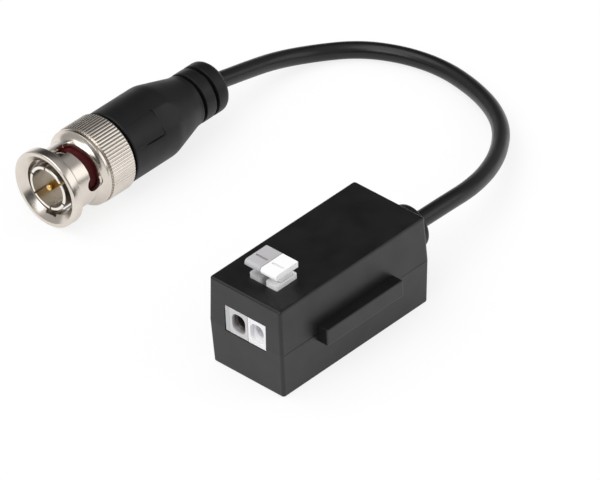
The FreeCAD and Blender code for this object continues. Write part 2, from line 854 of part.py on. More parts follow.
def cam_slot(angle):
    """Bayonet track through the nut's wall, from the keyway round to the detent."""
    inner = nut_bore_radius - wall / 2
    outer = knurl_radius + wall
    half = cam_width / 2
    sections = []
    for turn, along in cam_track:
        a = math.radians(turn)
        corners = [(inner, along - half), (outer, along - half),
                   (outer, along + half), (inner, along + half)]
        points = [Vector(r * math.cos(a), t, r * math.sin(a)) for r, t in corners]
        sections.append(Part.makePolygon(points + points[:1]))
    track = Part.makeLoft(sections, True, False)
    ends = []
    for (turn, along), radius in ((cam_track[0], half), (cam_track[-1], detent_radius)):
        a = math.radians(turn)
        way = Vector(math.cos(a), 0, math.sin(a))
        start = way * inner + Vector(0, along, 0)
        ends.append(Part.makeCylinder(radius, outer - inner, start, way))
    half_key = keyway_width / 2
    window = block(inner, outer, keyway_window_start, cam_track[0][1], -half_key, half_key)
    key = block(nut_bore_radius - wall, keyway_radius, -wall, cam_track[0][1],
                -half_key, half_key)
    keyway = spun(window.fuse(key), keyway_angle)
    return spun(track.fuse(ends + [keyway]), angle)


def coupling_nut():
    """Bayonet nut: flange, neck with its two tracks, shoulder, knurl, and inner web."""
    root = knurl_radius - 2 * knurl_depth
    web_rear = web_front + web_thickness
    rise = shoulder_radius - neck_radius
    run = shoulder_end - shoulder_start
    lean = math.sqrt(0.5)
    shoulder_middle = (neck_radius + rise * (1 - lean), shoulder_start + run * lean, 0)
    groove = shoulder_radius - band_groove_depth
    rim_start = flange_radius - flange_round
    outline = [
        (countersink_radius, 0), (rim_start, 0),
        (flange_radius, flange_round), (flange_radius, flange_thickness - flange_round),
        (rim_start, flange_thickness), (neck_radius, flange_thickness),
        (neck_radius, shoulder_start), (shoulder_radius, shoulder_end),
        (shoulder_radius, band_groove_start), (groove, band_groove_start + band_groove_depth),
        (groove, knurl_start), (root, knurl_start + knurl_depth),
        (root, knurl_end - knurl_depth), (knurl_radius - knurl_depth, knurl_end),
        (nut_rear_radius, nut_length), (rear_bore_radius, nut_length),
        (rear_bore_radius, web_rear), (web_bore_radius, web_rear),
        (web_bore_radius, web_front), (nut_bore_radius, web_front),
        (nut_bore_radius, countersink_depth), (countersink_radius, 0),
    ]
    arcs = {
        (rim_start, 0): (rim_start + flange_round * lean, flange_round * (1 - lean), 0),
        (neck_radius, shoulder_start): shoulder_middle,
    }
    edges = []
    for start, end in zip(outline, outline[1:]):
        start3 = (start[0], start[1], 0)
        end3 = (end[0], end[1], 0)
        if start in arcs:
            edges.append(arc(start3, arcs[start], end3))
        else:
            edges.append(line(start3, end3))
    nut = turned_edges(edges)
    teeth = knurl_ring(knurl_start, knurl_end)
    small = knurl_radius - knurl_chamfer
    for at, way in ((knurl_start, 1), (knurl_end, -1)):
        cone = Part.makeCone(small, small + knurl_radius, knurl_radius,
                             Vector(0, at, 0), Vector(0, way, 0))
        teeth = teeth.common(cone)
    nut = nut.fuse(teeth)
    return at_plug(nut.cut([cam_slot(0), cam_slot(180)]))


def plug_body():
    """Slotted outer contact, flange, neck and crimp barrel, turned as one piece."""
    seat_rear = ring_front + ring_thickness + ring_clearance
    seat_front = ring_front - ring_clearance / 2
    body = turned([
        (sleeve_front, sleeve_bore), (sleeve_front, sleeve_radius - sleeve_bevel),
        (sleeve_front + sleeve_bevel, sleeve_radius), (gasket_seat_start, sleeve_radius),
        (gasket_seat_start, gasket_seat_radius), (gasket_rear, gasket_seat_radius),
        (gasket_rear, body_flange_radius), (flange_rear, body_flange_radius),
        (flange_rear, sleeve_radius), (seat_front, sleeve_radius),
        (seat_front, ring_seat_radius), (seat_rear, ring_seat_radius),
        (seat_rear, sleeve_radius), (body_neck_end, sleeve_radius),
        (body_neck_end, barrel_radius), (barrel_end, barrel_radius),
        (barrel_end, barrel_bore), (insulator_end, barrel_bore),
        (insulator_end, insulator_radius + insulator_clearance),
        (insulator_front, insulator_radius + insulator_clearance),
        (insulator_front, sleeve_bore),
    ])
    cuts = []
    for index in range(sleeve_slots):
        slot = block(0, sleeve_radius + wall, sleeve_front - wall, sleeve_slot_end,
                     -sleeve_slot_width / 2, sleeve_slot_width / 2)
        cuts.append(spun(slot, sleeve_slot_angle + index * 360 / sleeve_slots))
    return at_plug(body.cut(cuts))


def plug_gasket():
    inner = gasket_seat_radius + gasket_clearance
    return at_plug(turned([
        (gasket_front, inner), (gasket_front, gasket_radius),
        (gasket_rear, gasket_radius), (gasket_rear, inner),
    ]))


def spring_washer():
    """Dished washer between the body's flange and the nut's web."""
    inner = sleeve_radius + gasket_clearance
    outer = body_flange_radius
    front = flange_rear + washer_clearance
    return at_plug(turned([
        (front, inner), (front + washer_thickness, inner),
        (front + washer_rise + washer_thickness, outer), (front + washer_rise, outer),
    ]))


def retaining_ring():
    """Split ring in the neck's groove, behind the nut's web."""
    inner = ring_seat_radius + ring_clearance / 2
    rear = ring_front + ring_thickness
    ring = turned([(ring_front, inner), (ring_front, ring_radius),
                   (rear, ring_radius), (rear, inner)])
    gap = block(0, ring_radius + wall, ring_front - wall, rear + wall, -ring_gap / 2, ring_gap / 2)
    return at_plug(ring.cut(spun(gap, 270)))


def insulator():
    bore = contact_pin_shank + insulator_clearance
    return at_plug(turned([
        (insulator_front, bore), (insulator_front, insulator_radius),
        (insulator_end, insulator_radius), (insulator_end, bore),
    ]))


def centre_pin():
    tip = contact_pin_tip
    shank_start = insulator_front
    return at_plug(turned([
        (tip, 0), (tip, contact_pin_radius - contact_pin_point),
        (tip + contact_pin_point, contact_pin_radius), (shank_start, contact_pin_radius),
        (shank_start, contact_pin_shank), (contact_pin_end, contact_pin_shank),
        (contact_pin_end, 0),
    ]))


def crimp_ferrule():
    outer = ferrule_bore + ferrule_wall
    front = body_neck_end + ring_clearance
    return at_plug(turned([
        (front, ferrule_bore), (front, outer), (ferrule_end, outer), (ferrule_end, ferrule_bore),
    ]))


def tapered_sector(front_radius, rear_radius, start, end, span):
    """Wedge-shaped slice of a cone round the axis, centred on the +X side."""
    cone = Part.makeCone(front_radius, rear_radius, end - start, Vector(0, start, 0),
                         Vector(0, 1, 0))
    reach = 2 * rear_radius
    half = math.radians(span / 2)
    wedge = prism([Vector(0, start, 0), Vector(reach, start, -reach * math.tan(half)),
                   Vector(reach, start, reach * math.tan(half))], Vector(0, end - start, 0))
    return cone.common(wedge)


def plug_boot():
    """Overmoulded grip and strain relief behind the nut."""
    neck_bore = max(sleeve_radius, ferrule_bore + ferrule_wall) + boot_clearance
    cable_bore = cable_radius + jacket_clearance
    lean = math.sqrt(0.5)
    dome_x = boot_tip_radius + (relief_radius - boot_tip_radius) * lean
    dome_y = dome_start + (boot_end - dome_start) * lean
    ferrule_room = ferrule_end + boot_clearance
    grooved = relief_radius - relief_groove_depth
    outline = [(neck_bore, ferrule_room), (neck_bore, boot_front), (boot_radius, boot_front),
               (boot_radius, boot_shoulder), (relief_radius, cone_end)]
    for place in relief_groove_places:
        near = place - relief_groove_width / 2
        far = place + relief_groove_width / 2
        outline += [(relief_radius, near), (grooved, near), (grooved, far), (relief_radius, far)]
    outline.append((relief_radius, dome_start))
    rear = [(boot_tip_radius, boot_end), (cable_bore, boot_end),
            (cable_bore, ferrule_room), (neck_bore, ferrule_room)]
    edges = [arc((relief_radius, dome_start, 0), (dome_x, dome_y, 0),
                 (boot_tip_radius, boot_end, 0))]
    for run in (outline, rear):
        for start, end in zip(run, run[1:]):
            edges.append(line((start[0], start[1], 0), (end[0], end[1], 0)))
    boot = turned_edges(edges)
    flat_distance = boot_radius * math.cos(math.radians(pad_span / 2))
    for half_turn in (0, 180):
        angle = pad_angle + half_turn
        flat = block(flat_distance, boot_radius + wall, pad_rear, pad_flat_end,
                     -boot_radius, boot_radius)
        pad = tapered_sector(boot_radius - pad_taper, boot_radius + pad_rise, boot_front,
                             pad_rear, pad_span)
        pad = pad.cut(rod_y(0, 0, boot_radius - wall, boot_front, boot_shoulder))
        boot = boot.cut(spun(flat, angle)).fuse(spun(pad, angle))
    return at_plug(boot.removeSplitter())


def cable_end():
    """Jacketed cable inside the boot."""
    start = barrel_end + ring_clearance
    return at_plug(rod_y(0, 0, cable_radius, start, boot_end))


def build():
    nodes = {
        "upper_shell": upper_shell(),
        "lower_shell": lower_shell(),
        "circuit_board": circuit_board(),
        "grey_terminal_body": terminal_body("grey"),
        "white_terminal_body": terminal_body("white"),
        "terminal_end_plate": terminal_end_plate(),
        "grey_lever": lever("grey"),
        "white_lever": lever("white"),
        "grey_clamp_spring": clamp_spring("grey"),
        "white_clamp_spring": clamp_spring("white"),
        "grey_contact_bar": contact_bar("grey"),
        "white_contact_bar": contact_bar("white"),
        "ferrite_core": ferrite_core(),
        "line_winding": winding(0),
        "coax_winding": winding(180),
        "surge_suppressor": surge_suppressor(),
        "chip_resistors": chips(resistor_places, resistor_height),
        "chip_capacitors": chips(capacitor_places, capacitor_height),
        "cable_grommet": cable_grommet(),
        "cable_tail": cable_tail(),
        "core_lead": lead(0, dielectric_radius),
        "braid_lead": lead(braid_offset + dielectric_radius, braid_radius),
        "video_cable": video_cable(),
        "cable_end": cable_end(),
        "plug_boot": plug_boot(),
        "crimp_ferrule": crimp_ferrule(),
        "plug_body": plug_body(),
        "coupling_nut": coupling_nut(),
        "spring_washer": spring_washer(),
        "retaining_ring": retaining_ring(),
        "plug_gasket": plug_gasket(),
        "plug_insulator": insulator(),
        "centre_pin": centre_pin(),
    }
    os.makedirs("parts", exist_ok=True)
    for name, shape in nodes.items():
        solids = shape.Solids
        if not solids or not all(solid.isValid() and solid.Volume > 0 for solid in solids):
            print("NOT VALID:", name)
        whole = solids[0] if len(solids) == 1 else Part.makeCompound(solids)
        whole.exportStep("parts/%s.step" % name)
        print("%-22s %d solid(s) %10.3f mm3" % (name, len(solids), whole.Volume))


build()
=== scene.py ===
import bpy
import bmesh
import json
import math
from mathutils import Matrix, Vector


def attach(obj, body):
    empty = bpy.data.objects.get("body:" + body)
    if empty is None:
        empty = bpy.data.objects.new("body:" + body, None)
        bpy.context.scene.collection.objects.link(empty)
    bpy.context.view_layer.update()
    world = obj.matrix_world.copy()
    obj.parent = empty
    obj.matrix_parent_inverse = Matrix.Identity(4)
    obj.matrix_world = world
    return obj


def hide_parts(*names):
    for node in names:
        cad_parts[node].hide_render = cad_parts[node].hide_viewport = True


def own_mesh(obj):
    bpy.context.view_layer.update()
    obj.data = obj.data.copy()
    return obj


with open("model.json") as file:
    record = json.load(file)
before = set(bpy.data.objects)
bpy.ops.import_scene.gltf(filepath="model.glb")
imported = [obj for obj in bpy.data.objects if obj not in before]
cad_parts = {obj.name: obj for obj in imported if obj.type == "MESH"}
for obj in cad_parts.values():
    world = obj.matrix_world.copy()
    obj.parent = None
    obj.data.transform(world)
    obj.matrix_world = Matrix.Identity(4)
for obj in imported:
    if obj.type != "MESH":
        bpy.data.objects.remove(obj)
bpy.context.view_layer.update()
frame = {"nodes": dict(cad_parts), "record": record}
mm = 0.001


def newObject(name, data):
    made = bpy.data.objects.new(name, data)
    bpy.context.collection.objects.link(made)
    return made


# camera: fitted to the photo's 600 x 480 frame

cameraFit = {
    "azimuth": 44.602,      # degrees, 0 looks along +Y
    "elevation": 36.676,
    "roll": -2.498,
    "distance": 1262.03 * mm,
    "lens": 473.74,
    "sensorWidth": 36,
    "target": (0.0, 0.0, 8.477 * mm),
    "targetPixel": (319.381, 288.304),
    "frameSize": (600, 480),
    "clip": (0.1, 10),      # nearest and farthest, in metres
}


def makeCamera(c):
    a = math.radians(c["azimuth"])
    e = math.radians(c["elevation"])
    r = math.radians(c["roll"])
    back = Vector((math.sin(a) * math.cos(e), -math.cos(a) * math.cos(e), math.sin(e)))
    level = Vector((math.cos(a), math.sin(a), 0))
    up = back.cross(level)
    right = math.cos(r) * level + math.sin(r) * up
    top = -math.sin(r) * level + math.cos(r) * up
    data = bpy.data.cameras.new("photoCamera")
    data.sensor_width = c["sensorWidth"]
    data.lens = c["lens"]
    width, height = c["frameSize"]
    data.shift_x = (width / 2 - c["targetPixel"][0]) / width
    data.shift_y = (c["targetPixel"][1] - height / 2) / width
    data.clip_start, data.clip_end = c["clip"]
    camera = newObject("photoCamera", data)
    place = Vector(c["target"]) + back * c["distance"]
    camera.matrix_world = Matrix((
        (right.x, top.x, back.x, place.x),
        (right.y, top.y, back.y, place.y),
        (right.z, top.z, back.z, place.z),
        (0, 0, 0, 1)))
    bpy.context.scene.camera = camera


makeCamera(cameraFit)
print("camera set")


# materials

noiseRange = (0.3, 0.7)     # where most of a noise's values lie


def newMaterial(name):
    material = bpy.data.materials.new(name)
    material.use_nodes = True
    tree = material.node_tree
    return material, tree, tree.nodes["Principled BSDF"]


def objectPoint(tree, scale=(1, 1, 1)):
    coordinate = tree.nodes.new("ShaderNodeTexCoord")
    mapping = tree.nodes.new("ShaderNodeMapping")
    mapping.inputs["Scale"].default_value = scale
    tree.links.new(coordinate.outputs["Object"], mapping.inputs["Vector"])
    return mapping.outputs["Vector"]


def noise(tree, point, scale, detail, roughness=0.5):
    node = tree.nodes.new("ShaderNodeTexNoise")
    node.inputs["Scale"].default_value = scale
    node.inputs["Detail"].default_value = detail
    node.inputs["Roughness"].default_value = roughness
    tree.links.new(point, node.inputs["Vector"])
    return node.outputs["Fac"]


# turns the values between the two of source into those between low and high
def spread(tree, value, low, high, source=noiseRange):
    node = tree.nodes.new("ShaderNodeMapRange")
    node.inputs["From Min"].default_value, node.inputs["From Max"].default_value = source
    node.inputs["To Min"].default_value = low
    node.inputs["To Max"].default_value = high
    tree.links.new(value, node.inputs["Value"])
    return node.outputs["Result"]


def colourRamp(tree, value, dark, light):
    node = tree.nodes.new("ShaderNodeValToRGB")
    for stop, position, colour in zip(node.color_ramp.elements, noiseRange, (dark, light)):
        stop.position = position
        stop.color = (*colour, 1)
    tree.links.new(value, node.inputs["Fac"])
    return node.outputs["Color"]


def bump(tree, height, distance):
    node = tree.nodes.new("ShaderNodeBump")
    node.inputs["Distance"].default_value = distance
    tree.links.new(height, node.inputs["Height"])
    return node.outputs["Normal"]


def combined(tree, operation, first, second):
    node = tree.nodes.new("ShaderNodeMath")
    node.operation = operation
    tree.links.new(first, node.inputs[0])
    tree.links.new(second, node.inputs[1])
    return node.outputs[0]


# 1 as far as half, in mm, from the middle, and 0 beyond
def within(tree, value, middle, half):
    node = tree.nodes.new("ShaderNodeMath")
    node.operation = "COMPARE"
    node.inputs[1].default_value = middle * mm
    node.inputs[2].default_value = half * mm
    tree.links.new(value, node.inputs[0])
    return node.outputs[0]


def blended(tree, factor, under, over):
    mix = tree.nodes.new("ShaderNodeMix")
    mix.data_type = "RGBA"
    tree.links.new(factor, mix.inputs["Factor"])
    tree.links.new(under, mix.inputs["A"])
    mix.inputs["B"].default_value = (*over, 1)
    return mix.outputs["Result"]


mouldedLook = {
    "cloud": (90, 3),       # scale per metre and detail of the colour's drift
    "gloss": (260, 2),
    "grainDetail": 4,
    "grainRoughness": 0.6,
}


# grain is the moulded texture's scale per metre, rise its height in mm
def mouldedSkin(tree, shader, point, roughness, grain, rise):
    gloss = noise(tree, point, *mouldedLook["gloss"])
    tree.links.new(spread(tree, gloss, *roughness), shader.inputs["Roughness"])
    fine = noise(tree, point, grain, mouldedLook["grainDetail"], mouldedLook["grainRoughness"])
    tree.links.new(bump(tree, fine, rise * mm), shader.inputs["Normal"])


def mouldedPlastic(name, dark, light, roughness, grain, rise, specular=0.5, coat=0.0):
    material, tree, shader = newMaterial(name)
    point = objectPoint(tree)
    cloud = noise(tree, point, *mouldedLook["cloud"])
    tree.links.new(colourRamp(tree, cloud, dark, light), shader.inputs["Base Color"])
    mouldedSkin(tree, shader, point, roughness, grain, rise)
    shader.inputs["Specular IOR Level"].default_value = specular
    shader.inputs["Coat Weight"].default_value = coat
    return material


terminalLook = {        # in mm; the first three are a middle and half the reach about it
    "face": (-17.05, 0.1),
    "entryHeight": (10.3, 1.77),
    "entryLength": (-14.0, 3.0),
    "entryHalfWidth": 1.47,
    # the entry's painted shade starts at the face and is full this far into the hole
    "entryShadeFade": (-16.98, -16.2),       # where the entry's tone starts and where it is full
    "shade": 0.96,      # the darkest patches' share of the tone
    "roughness": (0.32, 0.42),
    "grain": 2600,
    "rise": 0.003,
}


# a moulded body whose colour carries painted light and shade: the body's tone is lightened
# against the shade under the lever heads, the face plate takes a darker tone as painted shade of
# the front face, and the wire entry turns to a darker tone inwards as painted shade inside the
# hole
def terminalPlastic(name, tone, faceShadeTone, entryShadeTone, entryX):
    look = terminalLook
    material, tree, shader = newMaterial(name)
    point = objectPoint(tree)
    split = tree.nodes.new("ShaderNodeSeparateXYZ")
    tree.links.new(point, split.inputs["Vector"])
    x, y, z = (split.outputs[axis] for axis in "XYZ")
    opening = combined(tree, "MULTIPLY", within(tree, x, entryX, look["entryHalfWidth"]),
                       within(tree, z, *look["entryHeight"]))
    # painted shade in the wire entry: inside the opening and deeper than the face, the colour
    # turns to the entry's shade tone
    depth = spread(tree, y, 0, 1, [place * mm for place in look["entryShadeFade"]])
    depth = combined(tree, "MULTIPLY", depth, within(tree, y, *look["entryLength"]))
    entry = combined(tree, "MULTIPLY", opening, depth)
    cloud = noise(tree, point, *mouldedLook["cloud"])
    colour = colourRamp(tree, cloud, [value * look["shade"] for value in tone], tone)
    # the face plate takes a darker tone: painted shade of the recessed front face
    colour = blended(tree, within(tree, y, *look["face"]), colour, faceShadeTone)
    colour = blended(tree, entry, colour, entryShadeTone)
    tree.links.new(colour, shader.inputs["Base Color"])
    mouldedSkin(tree, shader, point, look["roughness"], look["grain"], look["rise"])
    return material


metalLook = {
    "cloud": (240, 3),      # scale per metre and detail
    "lines": (1200, 3),
    "stretch": (1, 0.08, 1),        # draws the lines out along Y
    "rise": 0.002,
}


def plainMetal(name, dark, light, roughness):
    material, tree, shader = newMaterial(name)
    shader.inputs["Metallic"].default_value = 1.0
    cloud = noise(tree, objectPoint(tree), *metalLook["cloud"])
    tree.links.new(colourRamp(tree, cloud, dark, light), shader.inputs["Base Color"])
    tree.links.new(spread(tree, cloud, *roughness), shader.inputs["Roughness"])
    lines = noise(tree, objectPoint(tree, metalLook["stretch"]), *metalLook["lines"])
    tree.links.new(bump(tree, lines, metalLook["rise"] * mm), shader.inputs["Normal"])
    return material


finishes = {
    "black_plastic": mouldedPlastic(
        "satinBlackPlastic", (0.0024, 0.0024, 0.0027), (0.0036, 0.0036, 0.0041),
        roughness=(0.36, 0.45), grain=3600, rise=0.006, specular=0.52),
    "grey_plastic": mouldedPlastic(
        "greyLeverPlastic", (0.40, 0.39, 0.40), (0.45, 0.44, 0.45),
        roughness=(0.34, 0.44), grain=2600, rise=0.003),
    "white_plastic": mouldedPlastic(
        "whiteLeverPlastic", (0.81, 0.81, 0.82), (0.85, 0.85, 0.86),
        roughness=(0.30, 0.40), grain=2600, rise=0.003),
    "board_laminate": mouldedPlastic(
        "solderMask", (0.012, 0.10, 0.045), (0.02, 0.14, 0.06),
        roughness=(0.25, 0.4), grain=1500, rise=0.004, coat=0.3),
    "spring_steel": plainMetal(
        "rolledSpringSteel", (0.50, 0.49, 0.46), (0.62, 0.60, 0.57), roughness=(0.22, 0.34)),
    "tinned_metal": plainMetal(
        "tinPlate", (0.60, 0.59, 0.56), (0.72, 0.71, 0.68), roughness=(0.3, 0.42)),
    "ferrite": mouldedPlastic(
        "sinteredFerrite", (0.03, 0.03, 0.033), (0.06, 0.06, 0.065),
        roughness=(0.55, 0.75), grain=2200, rise=0.02, specular=0.4),
    "enamelled_copper": plainMetal(
        "enamelledCopper", (0.42, 0.14, 0.04), (0.62, 0.24, 0.08), roughness=(0.18, 0.3)),
    "component_black": mouldedPlastic(
        "epoxyBlack", (0.012, 0.012, 0.012), (0.022, 0.022, 0.022),
        roughness=(0.5, 0.65), grain=2600, rise=0.008, specular=0.4),
    "component_tan": mouldedPlastic(
        "capacitorCeramic", (0.36, 0.24, 0.14), (0.46, 0.32, 0.2),
        roughness=(0.45, 0.6), grain=2600, rise=0.006, specular=0.4),
    "cable_rubber": mouldedPlastic(
        "cableJacket", (0.0056, 0.0056, 0.0061), (0.0076, 0.0076, 0.0084),
        roughness=(0.28, 0.36), grain=900, rise=0.006, specular=0.37),
    "boot_rubber": mouldedPlastic(
        "bootVinyl", (0.0052, 0.0053, 0.0060), (0.0074, 0.0076, 0.0086),
        roughness=(0.40, 0.50), grain=3200, rise=0.008, specular=0.28),
    "dielectric": mouldedPlastic(
        "polythene", (0.88, 0.86, 0.82), (0.92, 0.90, 0.87),
        roughness=(0.35, 0.45), grain=1500, rise=0.004),
    "nickel_plate": plainMetal(
        "nickelPlate", (0.65, 0.595, 0.535), (0.715, 0.655, 0.59), roughness=(0.20, 0.28)),
    # the gasket's red is its own, darkened further as painted shade of the deep slots it is seen
    # through
    "gasket_rubber": mouldedPlastic(
        "redSiliconePaintedShade", (0.050, 0.0018, 0.003), (0.070, 0.003, 0.005),
        roughness=(0.48, 0.58), grain=1800, rise=0.006, specular=0.18),
    "gold_plate": plainMetal(
        "goldPlate", (0.72, 0.46, 0.13), (0.85, 0.58, 0.2), roughness=(0.16, 0.24)),
}
# the sleeve's nickel is paler than the plug's other nickel: painted light standing for the light
# that reaches into the mouth
paintedLightSleeve = plainMetal(
    "sleeveNickelPaintedLight", (0.80, 0.76, 0.70), (0.88, 0.84, 0.78), roughness=(0.20, 0.28))
# the body tones are raised above the levers' own grey and white as painted light against the
# shade under the heads; the face tones are painted shade of the front faces, and the entry tones
# painted shade inside the wire holes
terminalFinishes = {
    "grey_terminal_body": terminalPlastic(
        "greyTerminalPlastic", tone=(0.58, 0.57, 0.58), faceShadeTone=(0.52, 0.515, 0.52),
        entryShadeTone=(0.042, 0.034, 0.030), entryX=-1.5),
    "white_terminal_body": terminalPlastic(
        "whiteTerminalPlastic", tone=(0.90, 0.90, 0.91), faceShadeTone=(0.76, 0.76, 0.78),
        entryShadeTone=(0.74, 0.74, 0.76), entryX=2.5),
    "terminal_end_plate": mouldedPlastic(
        "endPlatePlastic", (0.42, 0.415, 0.42), (0.47, 0.465, 0.47),
        roughness=(0.34, 0.44), grain=2600, rise=0.003),
}
slotOfNode = {row["node"]: row["material_slot"] for row in frame["record"]["subparts"]}
for node, piece in frame["nodes"].items():
    piece.data.materials.clear()
    piece.data.materials.append(finishes[slotOfNode[node]])
print("materials made:", len(finishes))


# cable: the same points as the solid's route

cableRun = {
    "diameter": 3.0,
    "points": (
        (0.0, 22.0, 8.75), (-0.1, 29.7, 8.5), (-1.1, 37.2, 7.2), (-3.6, 44.4, 5.7),
        (-7.3, 51.0, 4.4), (-12.2, 56.9, 3.4), (-18.4, 61.2, 2.5), (-25.6, 64.0, 1.8),
        (-33.2, 65.2, 1.5), (-40.8, 63.8, 1.5), (-47.6, 60.2, 1.5), (-52.2, 54.0, 1.8),
        (-54.0, 46.6, 3.5), (-53.9, 39.1, 5.4), (-53.84, 31.69, 7.0),
    ),
    "length": 107.3,
    "order": 3,
    "stepsAlong": 24,       # between two points
    "stepsRound": 12,
}


def makeCable(c):
    curve = bpy.data.curves.new("videoCable", "CURVE")
    curve.dimensions = "3D"
    curve.bevel_depth = c["diameter"] / 2 * mm
    curve.bevel_resolution = c["stepsRound"]
    curve.resolution_u = c["stepsAlong"]
    curve.use_fill_caps = True
    spline = curve.splines.new("NURBS")
    spline.points.add(len(c["points"]) - 1)
    for point, place in zip(spline.points, c["points"]):
        point.co = (*(value * mm for value in place), 1)
    spline.order_u = c["order"]
    spline.use_endpoint_u = True
    curve.materials.append(finishes["cable_rubber"])
    return newObject("videoCable", curve)


videoCable = makeCable(cableRun)
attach(videoCable, "balun")
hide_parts("video_cable")
print("cable laid")


# shared ways of making a piece; lengths are in mm and angles in degrees

edgeFinish = {
    "segments": 2,
    "faceWeight": 80,       # how strongly large faces rule the shading
    "joinWithin": 0.001,
    "flatWithin": 0.4,
}


def placePiece(name, mesh, finish, body, node):
    piece = newObject(name, mesh)
    mesh.materials.clear()
    mesh.materials.append(finishes[finish])
    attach(piece, body)
    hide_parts(node)
    return piece


def bakeModifiers(piece):
    graph = bpy.context.evaluated_depsgraph_get()
    mesh = bpy.data.meshes.new_from_object(piece.evaluated_get(graph), depsgraph=graph)
    piece.modifiers.clear()
    piece.data = mesh


# rounds the sharp edges by width, then lets large faces rule the shading
def finishEdges(piece, sharpFrom, width=0.0):
    for face in piece.data.polygons:
        face.use_smooth = True
    piece.data.set_sharp_from_angle(angle=math.radians(sharpFrom))
    if width:
        bevel = piece.modifiers.new("edges", "BEVEL")
        bevel.width = width * mm
        bevel.segments = edgeFinish["segments"]
        bevel.limit_method = "ANGLE"
        bevel.angle_limit = math.radians(sharpFrom)
    weigh = piece.modifiers.new("normals", "WEIGHTED_NORMAL")
    weigh.keep_sharp = True
    weigh.weight = edgeFinish["faceWeight"]
    bakeModifiers(piece)


# the CAD node's own shape with its triangles joined up
def joinedCopy(node, name):
    mesh = frame["nodes"][node].data.copy()
    mesh.name = name
    shape = bmesh.new()
    shape.from_mesh(mesh)
    bmesh.ops.remove_doubles(shape, verts=shape.verts, dist=edgeFinish["joinWithin"] * mm)
    bmesh.ops.dissolve_limit(shape, angle_limit=math.radians(edgeFinish["flatWithin"]),
                             verts=shape.verts, edges=shape.edges)
    shape.to_mesh(mesh)
    shape.free()
    return mesh


# corner: distance along the axis, distance from it, and how far the rounding reaches
def roundedSection(corners, steps=3):
    outline = []
    for index, (along, reach, rounding) in enumerate(corners):
        here = Vector((along, reach))
        if not rounding:
            outline.append(here)
            continue
        before = Vector(corners[index - 1][:2])
        after = Vector(corners[(index + 1) % len(corners)][:2])
        start = here + (before - here).normalized() * rounding
        end = here + (after - here).normalized() * rounding
        for step in range(steps + 1):
            t = step / steps
            outline.append(start * (1 - t) ** 2 + here * 2 * t * (1 - t) + end * t ** 2)
    return outline


def evenTurns(count):
    return [math.tau * step / count for step in range(count)]


def closedMesh(name, shape):
    bmesh.ops.recalc_face_normals(shape, faces=shape.faces)
    mesh = bpy.data.meshes.new(name)
    shape.to_mesh(mesh)
    shape.free()
    return mesh


# a section spun about an axis along +Y; shaper may change the distance at each turn
def spunMesh(name, section, centre, turns, shaper=None):
    shape = bmesh.new()
    rings = []
    for along, reach in section:
        ring = []
        for turn in (turns if reach > 0 else turns[:1]):
            far = shaper(along, reach, turn) if shaper else reach
            ring.append(shape.verts.new((
                (centre[0] + far * math.cos(turn)) * mm, (centre[1] + along) * mm,
                (centre[2] + far * math.sin(turn)) * mm)))
        rings.append(ring)
    for near, far in zip(rings, rings[1:] + rings[:1]):
        if len(near) == 1 and len(far) == 1:
            continue
        for step in range(len(turns)):
            after = (step + 1) % len(turns)
            if len(near) == 1:
                shape.faces.new((near[0], far[after], far[step]))
            elif len(far) == 1:
                shape.faces.new((near[step], near[after], far[0]))
            else:
                shape.faces.new((near[step], near[after], far[after], far[step]))
    return closedMesh(name, shape)


# a solid from a stack of like outlines
def stackedMesh(name, outlines):
    shape = bmesh.new()
    rings = [[shape.verts.new([value * mm for value in point]) for point in outline]
             for outline in outlines]
    count = len(rings[0])
    for near, far in zip(rings, rings[1:]):
        for step in range(count):
            after = (step + 1) % count
            shape.faces.new((near[step], near[after], far[after], far[step]))
    shape.faces.new(rings[0][::-1])
    shape.faces.new(rings[-1])
    return closedMesh(name, shape)


def cutAway(piece, cutters):
    for mesh in cutters:
        cutter = newObject("cutter", mesh)
        cut = piece.modifiers.new("cut", "BOOLEAN")
        cut.operation = "DIFFERENCE"
        cut.solver = "EXACT"
        cut.object = cutter
        bakeModifiers(piece)
        bpy.data.objects.remove(cutter)


# bayonet plug: distances run along its axis from the mouth

plugPlace = {"centre": (-53.84, -8.16, 7.0)}


def aroundPlug(turn, reach, along, side=0.0):
    x, y, z = plugPlace["centre"]
    a = math.radians(turn)
    return (x + reach * math.cos(a) - side * math.sin(a), y + along,
            z + reach * math.sin(a) + side * math.cos(a))


# a straight slot: from one reach to the other, half its width, and its two ends
def slotCutter(name, turn, reaches, half, ends):
    low, high = reaches
    return stackedMesh(name, [
        [aroundPlug(turn, reach, along, side) for reach, side in
         ((low, -half), (high, -half), (high, half), (low, half))]
        for along in ends])


# a turned piece of the plug with its cuts
def cutTurning(name, piece, cutters):
    blank = newObject(name, spunMesh(name, roundedSection(piece["outline"]),
                                     plugPlace["centre"], evenTurns(piece["sides"])))
    cutAway(blank, cutters)
    finishEdges(blank, piece["sharpFrom"])
    mesh = blank.data
    bpy.data.objects.remove(blank)
    return mesh


